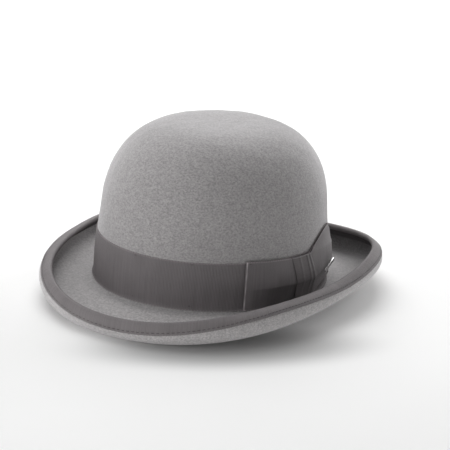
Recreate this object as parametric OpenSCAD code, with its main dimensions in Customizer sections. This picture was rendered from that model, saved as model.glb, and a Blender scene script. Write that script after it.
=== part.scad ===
// Bowler hat: one blocked felt hood, ribbon trims on the outside, sweatband and lining inside.
// Frame: millimetres, +Z up. The origin is the centre of the head opening, at the level where the
// crown meets the brim. The front of the hat faces -Y and the wearer's left side faces +X.
// Angles round the hat run anticlockwise from above: 0 is the wearer's left, 90 the back.

/* [Crown] */
// Half width of the crown oval at its foot, outside the felt
crown_half_w = 86.9; // [82:0.1:91]
// Half length of the crown oval at its foot, outside the felt
crown_half_l = 104.1; // [98:0.1:109]
// Height of the crown above the brim
crown_h = 123.2; // [110:0.1:128]
// Height at which the side wall turns into the dome
wall_h = 64.4; // [60:0.1:70]
// Roundness of the shoulder (lower is rounder)
dome_p = 1.76; // [1.5:0.01:2]
// Flatness of the top (higher is flatter)
dome_q = 3.83; // [3.2:0.01:4.2]
// Steady narrowing of the wall up to the shoulder, as a share of the width
wall_taper = 0.023; // [0.01:0.001:0.04]
// Extra narrowing that builds up towards the shoulder
wall_lean = 0.006; // [0:0.001:0.02]
// Outward belly half way up the wall
wall_belly = 0.014; // [0:0.001:0.02]
// Bend radius between crown and brim, on the upper side
break_r = 4; // [3:0.5:6]

/* [Felt] */
// Thickness of the stiffened felt
felt_t = 2.8; // [2:0.1:3.2]

/* [Brim] */
// Width of the brim's flat part, averaged round the hat
brim_w = 39.3; // [38.5:0.05:41]
// Extra width at the sides (negative is narrower)
brim_w_side = -9.45; // [-10.5:0.05:-8.5]
// Extra width at the back
brim_w_back = 4.45; // [3.5:0.05:5]
// Slope where the brim leaves the crown, averaged, in degrees
brim_slope = -4.35; // [-4.6:0.05:-4]
// Extra slope at the sides, in degrees
brim_slope_side = 7.15; // [6.5:0.05:7.5]
// Extra slope at the back, in degrees
brim_slope_back = 2.05; // [1.9:0.05:2.2]
// Upward sweep across the flat part, averaged, in degrees
brim_sweep = 10.35; // [10:0.05:11]
// Extra upward sweep at the sides, in degrees
brim_sweep_side = 14.15; // [13.5:0.05:14.5]
// Inside radius of the curl, averaged
curl_rad = 7.1; // [6.9:0.05:7.4]
// Extra radius of the curl at the sides (negative is tighter)
curl_rad_side = -2.45; // [-2.8:0.05:-2.2]
// Turn of the curl, averaged, in degrees
curl_deg = 145.4; // [142:0.1:147]
// Extra turn of the curl at the sides, in degrees
curl_deg_side = 0.8; // [-1:0.1:3]
// Extra turn of the curl at the four corners between the sides, front and back, in degrees
curl_deg_corner = 6.7; // [5:0.1:8]
// Turn of the curl moved from the back corners to the front corners, in degrees
curl_deg_front = 12.7; // [10:0.1:14]
// Straight lip past the end of the curl
lip = 1.4; // [1.2:0.1:2]
// Level of the two flats on the underside that the brim stands on
rest_z = -12.5; // [-12.7:0.05:-12.3]

/* [Ribbons] */
// Width of the hat band ribbon
band_w = 36.3; // [32:0.1:40]
// Height of the band's lower edge above the break
band_z = 1.3; // [1:0.1:2]
// Thickness of the band ribbon
ribbon_t = 0.5; // [0.4:0.1:0.7]
// Width of binding ribbon showing on each side of the brim edge
binding_w = 8.2; // [7.5:0.1:9]
// Thickness of the binding ribbon
binding_t = 0.4; // [0.3:0.1:0.6]

/* [Bow] */
// Angle round the crown of the bow's front fold (0 is the wearer's left)
bow_front = -44; // [-47:1:-42]
// Angle round the crown of the bow's knot
bow_mid = -12.4; // [-14:0.1:-11]
// Angle round the crown of the bow's rear fold
bow_rear = 15; // [13:1:17]
// How far the bow's ridge stands out beside the knot
bow_ridge = 5.0; // [3.5:0.5:6]
// Height of the ridge as a share of the ribbon, from the top edge
ridge_at = 0.49; // [0.45:0.01:0.55]
// How far the top edge of the rear loop tips up past the band
bow_tip = 13.3; // [10:0.1:14]
// Width of the knot
knot_w = 24; // [22:0.5:26]

/* [Badge] */
// Length of the plain metal bar on the bow
badge_l = 22.5; // [20:0.5:24]
// Height of the bar
badge_h = 2.4; // [2:0.1:3.4]
// Thickness of the bar
badge_t = 0.8; // [0.6:0.1:1.2]

/* [Sweatband] */
// Height of the sweatband
sweat_h = 36; // [32:1:40]
// Thickness of the sweatband
sweat_t = 1.0; // [0.7:0.1:1.2]
// Radius of the round reed in the sweatband's lower edge
reed_r = 1.0; // [0.8:0.1:1.1]

/* [Hidden] */
steps = 64;             // steps round the hat
back = 90;              // angle of the back, where the seams are
felt_col = [0.56, 0.54, 0.53];
ribbon_col = [0.33, 0.31, 0.31];
tack_col = [0.28, 0.26, 0.26];
lining_col = [0.22, 0.21, 0.22];

// ---------- helpers ----------
function clamp01(v) = min(1, max(0, v));
function arc_len(radius, turn) = radius*turn*PI/180;
// Angles all round, and angles of a strip whose ends stop half_gap short of a seam on each side
round_angles = [for (i = [0:steps-1]) 360*i/steps];
function strip_angles(seam, half_gap) =
  [for (i = [0:steps]) seam + half_gap + (360 - 2*half_gap)*i/steps];
// Two triangles of a four-cornered face
function quad(a, b, c, d) = [[a, b, c], [a, c, d]];

// A thick sheet between two skins, each skin[i][k]: i runs round anticlockwise, k runs down.
// Closed in i if ring is true. With poles [outer, inner], the k = 0 edges close on those points.
module sheet(outer, inner, ring = true, poles = []) {
  cols = len(outer);
  rows = len(outer[0]);
  size = cols*rows;
  function o(i, k) = (i % cols)*rows + k;
  function n(i, k) = size + o(i, k);
  last = ring ? cols - 1 : cols - 2;
  end = cols - 1;
  foot = rows - 1;
  polyhedron(
    points = concat([for (col = outer) each col], [for (col = inner) each col], poles),
    faces = concat(
      [for (i = [0:last]) for (k = [0:foot-1])
        each quad(o(i, k), o(i+1, k), o(i+1, k+1), o(i, k+1))],
      [for (i = [0:last]) for (k = [0:foot-1])
        each quad(n(i, k), n(i, k+1), n(i+1, k+1), n(i+1, k))],
      [for (i = [0:last]) each quad(o(i, foot), o(i+1, foot), n(i+1, foot), n(i, foot))],
      [for (i = [0:last]) each len(poles) > 0
        ? [[2*size, o(i+1, 0), o(i, 0)], [2*size + 1, n(i, 0), n(i+1, 0)]]
        : quad(n(i, 0), n(i+1, 0), o(i+1, 0), o(i, 0))],
      ring ? [] : [for (k = [0:foot-1]) each concat(
        quad(o(0, k), o(0, k+1), n(0, k+1), n(0, k)),
        quad(o(end, k), n(end, k), n(end, k+1), o(end, k+1)))]),
    convexity = 6);
}

// A straight stitch centred on a point
module stitch(centre, along, length, radius) {
  unit = along/norm(along);
  translate(centre) rotate([0, acos(unit[2]), atan2(unit[1], unit[0])])
    translate([0, 0, -length/2]) cylinder(h = length, r = radius, $fn = 16);
}

// ---------- crown ----------
function oval(ang) = [crown_half_w*cos(ang), crown_half_l*sin(ang)];
// Unit normal of the foot oval
function outward(ang) = let(v = [crown_half_l*cos(ang), crown_half_w*sin(ang)]) v/norm(v);
// Width of the crown at height z, as a share of its width at the foot
function wall_scale(z) = let(t = max(z, 0)/wall_h)
  1 - wall_taper*t - wall_lean*sin(90*min(t, 2)) + wall_belly*sin(180*min(t, 1));
// A point of the crown surface at height z, shrunk by scale, then inset, then moved out
function on_crown(ang, scale, z, inset = 0, out = 0) =
  let(p = scale*wall_scale(z)*(oval(ang) - inset*[cos(ang), sin(ang)]) + outward(ang)*out)
  [p[0], p[1], z];

// Dome stations: [scale, share of the dome's height]
function by_scale(scale) = [scale, pow(1 - pow(scale, dome_q), 1/dome_p)];
function by_height(share) = [pow(1 - pow(share, dome_p), 1/dome_q), share];
dome = concat(
  [for (scale = [0.14, 0.28, 0.42, 0.56, 0.68, 0.79]) by_scale(scale)],
  [for (share = [0.66, 0.52, 0.38, 0.24, 0.11]) by_height(share)]);
function on_dome(ang, station, inset) =
  on_crown(ang, station[0], wall_h + station[1]*(crown_h - inset - wall_h), inset);
function apex(inset) = [0, 0, crown_h - inset];
wall_levels = [wall_h, 52, 32, 14];

// ---------- brim section ----------
// Round-the-hat variation: [mean, extra at the sides, extra at the back, extra on the four axes,
// extra at the back corners and the front centre]
function wave(ang, v) =
  v[0] + v[1]*cos(2*ang) + v[2]*sin(ang) + v[3]*cos(4*ang) + v[4]*sin(3*ang);
function plate_width(ang) = wave(ang, [brim_w, brim_w_side, brim_w_back, 0.28, 0.25]);
function plate_slope(ang) = wave(ang, [brim_slope, brim_slope_side, brim_slope_back, 1.35, 1.3]);
function plate_sweep(ang) = wave(ang, [brim_sweep, brim_sweep_side, 1.8, 0, 1.25]);
function curl_radius(ang) = wave(ang, [curl_rad, curl_rad_side, 0.85, -0.45, 0]);
function curl_turn(ang) =
  wave(ang, [curl_deg, curl_deg_side, -1.6, -curl_deg_corner, -curl_deg_front]);

// End of an arc from the origin, given its length, first heading and turn
function arc_end(length, heading, turn) =
  let(chord = abs(turn) < 0.01 ? length : length*sin(turn/2)/arc_len(1, turn/2))
  chord*[cos(heading + turn/2), sin(heading + turn/2)];
// Upper surface of the brim at a station: 0 to 1 plate, 1 to 2 curl, 2 to 3 lip.
// Returns [out, up, heading]
function brim(ang, station) =
  let(part = min(station, 1),
      slope = plate_slope(ang),
      sweep = plate_sweep(ang)*part,
      turn = curl_turn(ang)*clamp01(station - 1),
      heading = slope + sweep + turn)
  concat(
    arc_end(part*plate_width(ang), slope, sweep)
      + arc_end(arc_len(curl_radius(ang), turn), slope + sweep, turn)
      + lip*max(station - 2, 0)*[cos(heading), sin(heading)],
    heading);
// [out, up] at a depth from a brim place towards the underside
function below(place, depth) =
  [place[0] + depth*sin(place[2]), place[1] - depth*cos(place[2])];
// The point [out, up] from the foot oval
function foot_pt(ang, place) = let(p = oval(ang) + outward(ang)*place[0]) [p[0], p[1], place[1]];

// Station where the break's bend runs into the plate
function bend_end(ang) = let(slope = plate_slope(ang) + 2)
  break_r*(1 + sin(slope))/cos(slope)/plate_width(ang);
// Centre of the bend, and its heading at that station: [out, up, heading]
function bend(ang) = let(place = brim(ang, bend_end(ang)))
  concat(below(place, -break_r), place[2]);
// A share of the way round the bend, at a depth under its upper side
function bend_at(ang, share, depth) =
  let(centre = bend(ang), turn = -90 + (centre[2] + 90)*share)
  below([centre[0], centre[1], turn], break_r + depth);
// Outward swell of the felt's foot at height z, beyond the wall line
function swell(ang, z) = let(centre = bend(ang))
  z >= centre[1] ? 0 : centre[0] - sqrt(max(0, pow(break_r, 2) - pow(centre[1] - z, 2)));
brim_stations = concat([0.34, 0.56, 0.78, 1], [for (i = [1:8]) 1 + i/8], [3]);

// ---------- felt ----------
// The hood from dome to lip; the underside is cut flat where it would go below rest_z
function felt_col_pts(ang, depth) = concat(
  [for (station = dome) on_dome(ang, station, depth)],
  [for (z = wall_levels) on_crown(ang, 1, z, depth)],
  [for (share = [0, 0.35, 0.7, 1]) let(place = bend_at(ang, share, depth))
    on_crown(ang, 1, place[1], 0, place[0])],
  [for (station = brim_stations) let(place = below(brim(ang, station), depth))
    foot_pt(ang, [place[0], depth > 0 ? max(place[1], rest_z) : place[1]])]);
module felt_body() color(felt_col)
  sheet([for (ang = round_angles) felt_col_pts(ang, 0)],
    [for (ang = round_angles) felt_col_pts(ang, felt_t)],
    poles = [apex(0), apex(felt_t)]);

// ---------- brim binding ----------
binding_in = 0.1;                     // clearance off the felt
binding_out = binding_in + binding_t;
// Station of the ribbon's edge on a side of the curl with the given radius
function binding_edge(ang, radius) = 2 - (binding_w - lip)/arc_len(radius, curl_turn(ang));
// From the ribbon's edge inside the curl, round the brim's edge, to its edge outside the curl
function binding_row(ang, off) =
  let(inner = binding_edge(ang, curl_radius(ang)),
      outer = binding_edge(ang, curl_radius(ang) + felt_t),
      edge = brim(ang, 3))
  [for (place = concat(
    [for (i = [0:3]) below(brim(ang, inner + (2 - inner)*i/3), -off)],
    [for (i = [0:4]) let(turn = 45*i - edge[2])
      below(edge, felt_t/2) + (felt_t/2 + off)*[sin(turn), cos(turn)]],
    [for (i = [0:3]) below(brim(ang, 2 - (2 - outer)*i/3), felt_t + off)]))
    foot_pt(ang, place)];
module brim_binding() color(ribbon_col) {
  angles = strip_angles(back, 0.25);  // butt joint at the back
  sheet([for (ang = angles) binding_row(ang, binding_out)],
    [for (ang = angles) binding_row(ang, binding_in)], ring = false);
}

// A point of the stitch line, above the binding's edge on the outside of the curl
stitch_line = 1.8;
function binding_stitch_pt(ang) =
  let(radius = curl_radius(ang) + felt_t,
      station = binding_edge(ang, radius) + stitch_line/arc_len(radius, curl_turn(ang)))
  foot_pt(ang, below(brim(ang, station), felt_t + binding_out + 0.32));
module binding_thread() color([0.3, 0.28, 0.28])
  for (i = [0:255])
    let(ang = back + 0.7 + 358.6*i/256, start = binding_stitch_pt(ang))
      stitch(start, binding_stitch_pt(ang + 0.2) - start, length = 2.1, radius = 0.2);

// ---------- hat band ----------
band_in = 0.12;                       // clearance off the felt
band_out = band_in + ribbon_t;
band_levels = [for (share = [1, 0.55, 0.16, 0.07, 0.03, 0]) band_z + band_w*share];
// A point at height z, out from the felt
function band_pt(ang, z, out) = on_crown(ang, 1, z, 0, swell(ang, z) + out);
module hat_band() color(ribbon_col) {
  angles = strip_angles(bow_mid, 0.3);  // ends meet under the knot
  sheet([for (ang = angles) [for (z = band_levels) band_pt(ang, z, band_out)]],
    [for (ang = angles) [for (z = band_levels) band_pt(ang, z, band_in)]], ring = false);
}
module band_tacks() color(tack_col)
  for (ang = [-135, -100, -70, 50, 80, 110, 140, 175])
    for (z = [band_z + band_w - 1.2, band_z + 3])
      let(start = band_pt(ang, z, band_out + 0.3))
        stitch(start, band_pt(ang + 0.3, z, band_out + 0.3) - start, length = 1.6, radius = 0.18);

// ---------- bow ----------
// Places on the bow: an angle, and down, from 0 at the ribbon's top edge to 1 at its bottom edge
bow_t = 0.5;                          // ribbon thickness
bow_in = band_out + 0.85;             // crown side of the inner leaf
bow_out = bow_in + bow_t + 0.3;       // inner side of the outer leaf, at the folds
mm_per_deg = 1.83;                    // length round the crown for one degree at the bow
// Share of the way from the knot to the front fold, or to the rear fold
function to_front(ang) = clamp01((bow_mid - ang)/(bow_mid - bow_front));
function to_rear(ang) = clamp01((ang - bow_mid)/(bow_rear - bow_mid));
function tip(ang) = sin(90*clamp01((to_rear(ang) - 0.2)/0.777));
// Rise of the top edge: pinched down at the knot, up a little at the front fold
function lift(ang) = 1.2*pow(to_front(ang), 2) - 1.5*exp(-pow((ang - bow_mid)/9, 2));
function bow_z(ang, down) = band_z + 0.3 + (band_w - 0.2 + lift(ang))*(1 - down)
  + tip(ang)*(bow_tip - 3*down);
// Ridge: its place down the ribbon, and how far it stands out
function ridge_down(ang) = ang < bow_mid
  ? ridge_at + 0.07*to_front(ang)
  : (bow_z(ang, 0) - bow_z(bow_mid, ridge_at) - 5.8*pow(to_rear(ang), 2.5))
    /(bow_z(ang, 0) - bow_z(ang, 1));
function ridge_h(ang) = bow_ridge*(ang < bow_mid
  ? pow(max(0, 1 - pow(to_front(ang), 1.5)), 0.9)
  : 1 - 0.26*min(1, 2.2*to_rear(ang)));
// Cross profile as a share of the ridge: foot is left at the bottom edge, full rounds the top part
function ridge_shape(down, ridge, foot, full = 0) = down < ridge
  ? (1 - full)*(0.55*sin(90*down/ridge) + 0.45*down/ridge) + full*sqrt(down/ridge)
  : foot + (1 - foot)*pow((1 - down)/(1 - ridge), 1.5);
function bow_swell(ang, down) = ridge_h(ang)*ridge_shape(down, ridge_down(ang),
  foot = 0.12 + 0.25*to_rear(ang), full = 0.9*pow(to_rear(ang), 2));
function smooth(t) = let(c = clamp01(t)) c*c*(3 - 2*c);
// A point of the bow, drawn in a little where it rises past the band
function bow_pt(ang, down, out) = let(z = bow_z(ang, down))
  band_pt(ang, z, out - 0.8*smooth((z - band_z - band_w - 0.4)/3));
function bow_face(ang, down, off = 0) =
  bow_pt(ang, down, bow_out + bow_t + bow_swell(ang, down) + off);

bow_rows = [0, 0.22, 0.45, 0.72, 1, 1.25, 1.6, 2];  // 0 to 1 above the ridge, 1 to 2 below
function row_down(row, ang) = let(ridge = ridge_down(ang))
  row < 1 ? ridge*row : ridge + (1 - ridge)*(row - 1);
bow_steps = 26;
bow_angles = [for (i = [0:bow_steps]) bow_front + (bow_rear - bow_front)*i/bow_steps];
// Loop of the folded ribbon: [angle, distance] on its outer skin, then the same on its inner skin
function bow_loop(row) =
  let(top = bow_out + bow_t + bow_swell(bow_rear, row_down(row, bow_rear)),
      radius = (top - bow_in)/2)
  concat(
    [for (ang = bow_angles) let(out = bow_out + bow_swell(ang, row_down(row, ang)))
      [ang, out + bow_t, ang, out]],
    [for (a = [54, 18, -18, -54])
      [bow_rear + 0.35*radius*cos(a)/mm_per_deg + 0.3*cos(a),
       bow_in + radius + radius*sin(a),
       bow_rear + 0.35*(radius - bow_t)*cos(a)/mm_per_deg + 0.05*cos(a),
       bow_in + radius + (radius - bow_t)*sin(a)]],
    [for (i = [bow_steps:-1:0]) let(ang = bow_angles[i]) [ang, bow_in, ang, bow_in + bow_t]],
    [[bow_front - 0.5, bow_in + bow_t - 0.1, bow_front - 0.12, bow_in + bow_t + 0.15],
     [bow_front - 0.5, bow_out + 0.1, bow_front - 0.12, bow_out - 0.15]]);
// One skin of the loops: side 0 is the outer, 2 the inner
function bow_skin(loops, side) = [for (i = [0:len(loops[0])-1])
  [for (k = [0:len(bow_rows)-1]) let(entry = loops[k][i])
    bow_pt(entry[side], row_down(bow_rows[k], entry[side]), entry[side+1])]];
module bow_sheet() {
  loops = [for (row = bow_rows) bow_loop(row)];
  sheet(bow_skin(loops, 0), bow_skin(loops, 2));
}
module bow_ribbon() color(ribbon_col) difference() {
  bow_sheet();
  badge_pins(z = -2.2, h = 3, r = pin_r + 0.1);
}
module bow_tacks() color(tack_col)
  for (ang = [bow_front + 1.4, bow_rear - 0.8])
    for (down = [0.03, 0.97])
      let(out = bow_out + bow_t + bow_swell(ang, down) + 0.35, start = bow_pt(ang, down, out))
        stitch(start, bow_pt(ang + 0.3, down, out) - start, length = 1.5, radius = 0.2);

// ---------- badge ----------
// Seated on the ridge of the rear loop; local z points out of the hat
function ridge_pt(ang) = bow_face(ang, ridge_down(ang));
badge_dir = ridge_pt(14) - ridge_pt(2.3);
badge_centre = ridge_pt(8.2);
badge_corner = 0.6;
pin_x = 7;
pin_r = 0.45;
module at_badge() translate(badge_centre)
  rotate([0, 0, atan2(badge_dir[1], badge_dir[0])])
  rotate([0, -atan2(badge_dir[2], norm([badge_dir[0], badge_dir[1]])), 0])
  rotate([90, 0, 0]) children();
module badge_pins(z, h, r)
  for (x = [-pin_x, pin_x]) at_badge() translate([x, 0, z]) cylinder(h = h, r = r, $fn = 24);
module badge_plate() color([0.8, 0.8, 0.8]) union() {
  at_badge() translate([0, 0, 0.75]) linear_extrude(badge_t) offset(r = badge_corner, $fn = 24)
    square([badge_l - 2*badge_corner, badge_h - 2*badge_corner], center = true);
  badge_pins(z = -1.7, h = 2.6, r = pin_r);
}

// ---------- knot ----------
// A belt round the bow; across runs from -1 to 1 over its width
knot_t = 0.5;
knot_back = band_out + 0.18;          // crown side of the back leaf
knot_downs = [-0.012, 0.1, 0.22, 0.36, ridge_at, 0.56, 0.66, 0.78, 0.9, 1.012];
function knot_front(down) = bow_out + bow_t + 0.3 + bow_ridge*ridge_shape(clamp01(down), ridge_at, 0.2);
// [down, distance] on the outer skin, then the same on the inner skin
knot_loop = concat(
  [for (down = knot_downs) [down, knot_front(down) + knot_t, down, knot_front(down)]],
  [[1.03, 2.3, 1.018, 2.1], [1.03, 1.2, 1.018, 1.6]],
  [for (down = [1.0, 0.75, 0.5, 0.25, 0]) [down, knot_back, down, knot_back + knot_t]],
  [[-0.03, 1.2, -0.018, 1.6], [-0.03, 2.3, -0.018, 2.1]]);
// The knot slants and curves rearwards on its way down
function knot_pt(down, across, out) = band_pt(
  bow_mid - 1.05 + 0.95*down + 2.1*down*down + across*knot_w/2/mm_per_deg,
  bow_z(bow_mid, down), out);
function knot_skin(side) = [for (entry = knot_loop)
  [for (across = [1, 0.5, 0, -0.5, -1]) knot_pt(entry[side], across, entry[side+1])]];
module bow_knot() color(ribbon_col) sheet(knot_skin(0), knot_skin(2));

// ---------- sweatband ----------
sweat_z = -1.2;                       // lower edge
sweat_in = 0.75;                      // felt to the sweatband
sweat_face = sweat_in + sweat_t;      // felt to the side that meets the head
// A point inside the crown, inset from the felt's inner face
function in_pt(ang, z, inset) = on_crown(ang, 1, z, felt_t + inset);
module inner_strip(angles, levels, inset, thick)
  sheet([for (ang = angles) [for (z = levels) in_pt(ang, z, inset)]],
    [for (ang = angles) [for (z = levels) in_pt(ang, z, inset + thick)]], ring = false);
module sweatband() color([0.2, 0.17, 0.15])
  inner_strip(strip_angles(back, 0.2),
    [for (share = [1, 0.7, 0.35, 0.1, 0]) sweat_z + sweat_h*share], sweat_in, sweat_t);
module sweatband_thread() color([0.25, 0.22, 0.2]) {
  inset = sweat_face + 0.3;
  for (i = [0:119])
    let(ang = 3*i + 1.5, start = in_pt(ang, 2.2, inset))
      stitch(start, in_pt(ang + 0.3, 2.2, inset) - start, length = 3, radius = 0.2);
  // cross stitches over the rear seam
  for (i = [0:7])
    stitch(in_pt(back, 6 + i*3.6, inset), [2.4, 0, i % 2 == 0 ? 1.5 : -1.5],
      length = 3, radius = 0.2);
}
// Small flat ribbon bow over the rear seam: two open loops and a knot
module sweatband_bow() color(ribbon_col)
  translate(in_pt(back, 12, sweat_face)) translate([0, -1.5, 0]) {
    for (side = [-1, 1]) translate([side*6.6, 0, -2.6]) difference() {
      scale([6, 1, 1]) cylinder(h = 5.2, r = 1, $fn = 48);
      translate([0, 0, -1]) scale([5.5, 0.62, 1]) cylinder(h = 8, r = 1, $fn = 48);
    }
    cube([3, 2.2, 5.6], center = true);
  }
module size_label() color([0.92, 0.92, 0.9])
  inner_strip([for (i = [0:6]) 118 + i*2.2], [31, 24, 17], sweat_face + 0.2, 0.3);

// ---------- reed ----------
reed_inset = 1.25;
reed_z = sweat_z - 0.35 - reed_r;
// Section points are [inset, height], swept round the oval
module ring_of(section) {
  size = len(section);
  function id(i, j) = (i % steps)*size + j % size;
  polyhedron(
    points = [for (ang = round_angles) for (p = section) in_pt(ang, 0, p[0]) + [0, 0, p[1]]],
    faces = [for (i = [0:steps-1]) for (j = [0:size-1])
      each quad(id(i, j), id(i, j+1), id(i+1, j+1), id(i+1, j))],
    convexity = 6);
}
function reed_arc(radius, angles) =
  [for (a = angles) [reed_inset + radius*cos(a), reed_z + radius*sin(a)]];
module reed() color([0.85, 0.85, 0.82]) ring_of(reed_arc(reed_r, [0:36:324]));
// From the flange between felt and sweatband, round the reed, and back
module reed_tape() color([0.15, 0.14, 0.14])
  ring_of(concat(
    [[0.3, 7], [0.3, reed_z + 0.3]],
    reed_arc(reed_r + 0.3, [190:30:370]),
    reed_arc(reed_r + 0.08, [370:-30:190]),
    [[0.52, reed_z + 1.2], [0.52, 7]]));

// ---------- lining ----------
lining_t = 0.3;
lining_in = felt_t + 0.25;
lining_out = lining_in + lining_t;    // the face seen inside the hat
// Side wall, its foot tucked behind the top of the sweatband
function side_row(ang, inset) = concat(
  [for (share = [0.6, 0.45, 0.3, 0.15]) on_dome(ang, by_height(share), inset)],
  [for (z = [wall_h, 54, 40, 27]) on_crown(ang, 1, z, inset)]);
module lining_side() color(lining_col)
  sheet([for (ang = round_angles) side_row(ang, lining_in)],
    [for (ang = round_angles) side_row(ang, lining_out)]);
tip_stations = concat([for (scale = [0.2, 0.4, 0.58, 0.72]) by_scale(scale)], [by_height(0.63)]);
function tip_row(ang, inset) = [for (station = tip_stations) on_dome(ang, station, inset)];
module lining_tip() color(lining_col)
  sheet([for (ang = round_angles) tip_row(ang, lining_in)],
    [for (ang = round_angles) tip_row(ang, lining_out)],
    poles = [apex(lining_in), apex(lining_out)]);
// Stitches round the joint between side and tip
function lining_stitch_pt(ang) = on_dome(ang, by_height(0.615), lining_out + 0.45);
module lining_thread() color([0.3, 0.3, 0.3])
  for (i = [0:79])
    let(ang = 4.5*i + 2, start = lining_stitch_pt(ang))
      stitch(start, lining_stitch_pt(ang + 0.3) - start, length = 3, radius = 0.18);

felt_body();
brim_binding();
binding_thread();
hat_band();
band_tacks();
bow_ribbon();
bow_knot();
bow_tacks();
badge_plate();
sweatband();
sweatband_thread();
sweatband_bow();
reed();
reed_tape();
size_label();
lining_side();
lining_tip();
lining_thread();
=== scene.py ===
# Bowler hat of grey felt: domed oval crown, curled brim with a ribbon binding, hat band with a
# bow, and a sweatband and satin lining inside. Z is up, through the middle of the crown. The hat
# faces -Y and the bow is on the +X side. Shapes are in millimetres, the stage is in metres.
import bpy
import numpy as np
from mathutils import Vector, Matrix


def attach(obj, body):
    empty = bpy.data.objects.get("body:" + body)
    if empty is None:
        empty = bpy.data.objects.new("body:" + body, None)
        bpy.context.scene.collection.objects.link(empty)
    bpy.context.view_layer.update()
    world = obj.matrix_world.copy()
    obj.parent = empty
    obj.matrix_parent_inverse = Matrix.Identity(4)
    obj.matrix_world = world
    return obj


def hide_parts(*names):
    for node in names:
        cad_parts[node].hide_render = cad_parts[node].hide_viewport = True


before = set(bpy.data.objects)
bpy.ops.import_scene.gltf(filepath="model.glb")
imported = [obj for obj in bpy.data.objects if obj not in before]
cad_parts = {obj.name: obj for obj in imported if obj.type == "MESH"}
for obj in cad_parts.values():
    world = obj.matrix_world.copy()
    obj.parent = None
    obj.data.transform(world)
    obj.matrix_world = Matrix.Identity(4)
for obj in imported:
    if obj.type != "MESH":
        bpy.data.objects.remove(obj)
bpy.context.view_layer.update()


# ----------------------------------------------------------------------------------------------
# Dimensions, mm
# ----------------------------------------------------------------------------------------------
HALF_WIDTH, HALF_DEPTH = 86.9, 104.1      # the crown's oval at its foot
CROWN_HEIGHT, WALL_HEIGHT = 123.2, 64.4   # the dome stands on the wall
RISE_POWER, SPREAD_POWER = 1.76, 3.83     # dome: rise ** 1.76 + spread ** 3.83 = 1
TAPER, LEAN, BELLY = 0.023, 0.006, 0.014  # narrowing and bulge of the wall, shares of the oval
BEND_RADIUS = 4.0                         # where the wall turns into the brim
FELT_THICK = 2.8
REST = -12.5                              # lowest height of the hat

# Brim, varied round the hat. Columns: mean, at the sides, at the back, on the four axes,
# at the back corners and front centre
PLATE_WIDTH = (39.3, -9.45, 4.45, 0.28, 0.25)
PLATE_TILT = (-4.35, 7.15, 2.05, 1.35, 1.3)    # degrees
PLATE_TURN = (10.35, 14.15, 1.8, 0, 1.25)      # degrees
CURL_RADIUS = (7.1, -2.45, 0.85, -0.45, 0)
CURL_TURN = (145.4, 0.8, -1.6, -6.7, -12.7)    # degrees
LIP = 1.4                                      # straight end of the curl

BAND_WIDTH, BAND_FOOT = 36.3, 1.3
BAND_GAP = 0.12                                # felt to hat band
RIBBON_THICK = 0.5
BINDING_WIDTH, BINDING_THICK = 8.2, 0.4
RIB_PITCH = 1.12
RIB_STEPS = 6                  # mesh steps per rib
RIB_RISE = 0.20

# Bow, degrees round the hat: knot and the ends of the two loops
KNOT_AT, BOW_FRONT, BOW_REAR = -12.4, -44.0, 15.0
KNOT_WIDTH = 24.0
BOW_BACK = BAND_GAP + RIBBON_THICK + 0.85      # standoffs of the loops' two layers
BOW_FACE = BOW_BACK + RIBBON_THICK + 0.3
KNOT_BACK = BAND_GAP + RIBBON_THICK + 0.18
RIDGE, RIDGE_ACROSS = 5.0, 0.49                # crease along the bow: height, place across
TIP_LIFT = 13.3                                # rise of the rear loop's end

SWEAT_FOOT, SWEAT_HEIGHT, SWEAT_THICK = -1.2, 36.0, 1.0
SWEAT_GAP = 0.75                               # felt to sweatband
SWEAT_FACE = SWEAT_GAP + SWEAT_THICK
REED_RADIUS = 1.0
LINING_GAP, LINING_THICK = 0.25, 0.3
INSIDE_STEPS = 720
PATTERN_RADIUS = 92                            # turns angles into lengths of cloth

rad = np.radians


# ----------------------------------------------------------------------------------------------
# Surfaces. Angles run anticlockwise from +X
# ----------------------------------------------------------------------------------------------
def grid(x, y, z):
    return np.stack(np.broadcast_arrays(x, y, z), -1)


def smooth(x, start, end):
    t = np.clip((x - start) / (end - start), 0, 1)
    return t * t * (3 - 2 * t)


def bell(x, centre, width):
    return np.exp(-((x - centre) / width) ** 2)


def oval(angle):
    return HALF_WIDTH * np.cos(angle), HALF_DEPTH * np.sin(angle)


def outward(angle):
    x, y = HALF_DEPTH * np.cos(angle), HALF_WIDTH * np.sin(angle)
    length = np.sqrt(x * x + y * y)
    return x / length, y / length


def narrowing(height):
    t = np.maximum(height, 0) / WALL_HEIGHT
    lean = LEAN * np.sin(np.pi / 2 * np.minimum(t, 2))
    return 1 - TAPER * t - lean + BELLY * np.sin(np.pi * np.minimum(t, 1))


def beyond_oval(angle, out, height):
    nx, ny = outward(angle)
    x, y = oval(angle)
    return grid(x + nx * out, y + ny * out, height)


def crown_point(angle, spread, height, inset=0.0, out=0.0):
    """Point at a share of the crown's oval, set in along the radius and out along the normal."""
    nx, ny = outward(angle)
    x, y = oval(angle)
    size = spread * narrowing(height)
    return grid(size * (x - inset * np.cos(angle)) + nx * out,
                size * (y - inset * np.sin(angle)) + ny * out, height)


def apex(inset):
    return 0.0, 0.0, CROWN_HEIGHT - inset


def rise_at(spread):
    return (1 - spread ** SPREAD_POWER) ** (1 / RISE_POWER)


def spread_at(rise):
    return (1 - rise ** RISE_POWER) ** (1 / SPREAD_POWER)


def dome_point(angle, spread, rise, inset):
    height = WALL_HEIGHT + rise * (CROWN_HEIGHT - inset - WALL_HEIGHT)
    return crown_point(angle, spread, height, inset)


def dome_rows(spread_start, spread_join, rise_end, top_rows, side_rows):
    """Spreads and rises of rows down the dome: even in spread on top, then even in rise."""
    top = np.linspace(spread_start, spread_join, top_rows)
    side = np.linspace(rise_at(spread_join), rise_end, side_rows)[1:]
    return np.concatenate([top, spread_at(side)]), np.concatenate([rise_at(top), side])


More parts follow.
